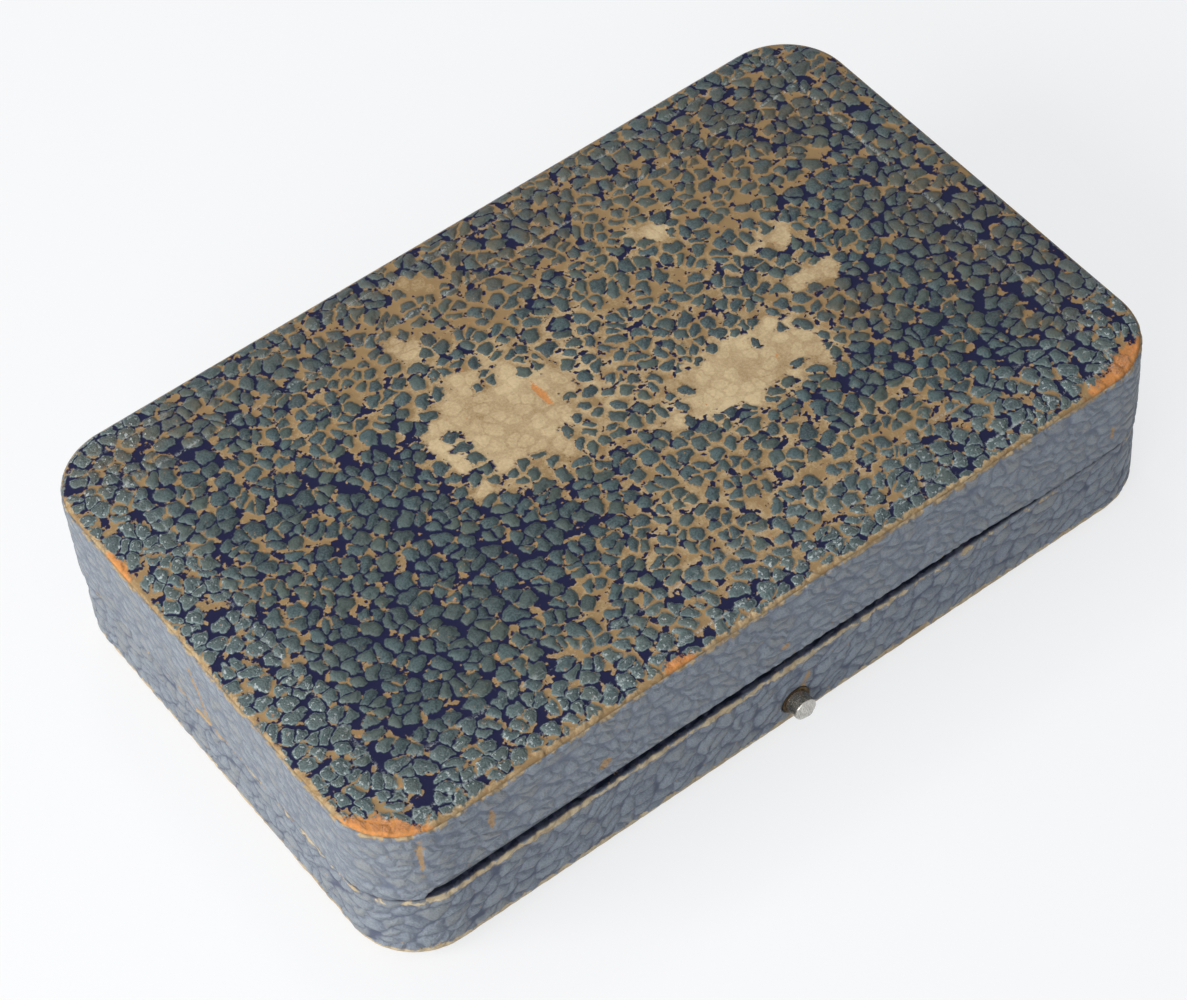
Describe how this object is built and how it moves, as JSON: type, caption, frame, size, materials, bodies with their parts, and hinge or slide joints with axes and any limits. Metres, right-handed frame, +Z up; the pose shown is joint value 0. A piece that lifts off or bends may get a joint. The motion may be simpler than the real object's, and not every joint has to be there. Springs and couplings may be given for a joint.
{
  "type": "drafting instrument case",
  "caption": "Small hinged pocket case for drawing instruments, covered in pebbled leatherette, with a push-button catch, a fitted velvet tray and a padded lid.",
  "frame": {"origin": "middle of the underside, on the surface that the case stands on", "axes": "+X along the long side, +Y towards the hinges, +Z up; the button faces -Y"},
  "size_m": [0.12, 0.0764, 0.0273],
  "materials": {
    "carcass_wood": "bare wood, seen only at the rims when open",
    "side_leatherette": "blue pebbled leatherette, scuffed",
    "top_leatherette": "blue pebbled leatherette, worn to tan in places",
    "sole_leatherette": "dark blue leatherette, rubbed",
    "tray_velvet": "short pile velvet",
    "pad_satin": "aged satin over wadding",
    "lining_paper": "aged lining paper",
    "pad_card": "plain card",
    "hinge_brass": "tarnished brass",
    "spring_steel": "plain spring steel",
    "button_nickel": "worn nickel plate"
  },
  "bodies": {
    "base": {"base_board": "carcass_wood", "base_front_rail": "carcass_wood", "base_back_rail": "carcass_wood", "base_left_rail": "carcass_wood", "base_right_rail": "carcass_wood", "base_side_cover": "side_leatherette", "base_bottom_cover": "sole_leatherette", "tray_block": "carcass_wood", "tray_velvet": "tray_velvet", "hinge_leaf_base_left": "hinge_brass", "hinge_leaf_base_right": "hinge_brass", "hinge_pin_left": "spring_steel", "hinge_pin_right": "spring_steel", "hinge_screws_base": "hinge_brass", "latch_spring": "spring_steel", "latch_screws": "spring_steel", "button_ferrule": "hinge_brass"},
    "lid": {"lid_board": "carcass_wood", "lid_front_rail": "carcass_wood", "lid_back_rail": "carcass_wood", "lid_left_rail": "carcass_wood", "lid_right_rail": "carcass_wood", "lid_side_cover": "side_leatherette", "lid_top_cover": "top_leatherette", "lid_pad_card": "pad_card", "lid_pad": "pad_satin", "lid_wall_lining": "lining_paper", "hinge_leaf_lid_left": "hinge_brass", "hinge_leaf_lid_right": "hinge_brass", "hinge_screws_lid": "hinge_brass", "keeper_plate": "hinge_brass", "keeper_screws": "hinge_brass"},
    "button": {"push_button": "button_nickel"}
  },
  "joints": [
    {"name": "lid_hinge", "type": "hinge", "parent": "base", "child": "lid", "pos_m": [0, 0.0354, 0.0133], "axis": [-1, 0, 0], "range_deg": [0, 100], "deforming": ["latch_spring"]},
    {"name": "button_press", "type": "slide", "parent": "base", "child": "button", "axis": [0, 1, 0], "range_m": [0, 0.001], "stiffness_N_per_m": 600, "springref_m": -0.001, "deforming": ["latch_spring"]}
  ]
}
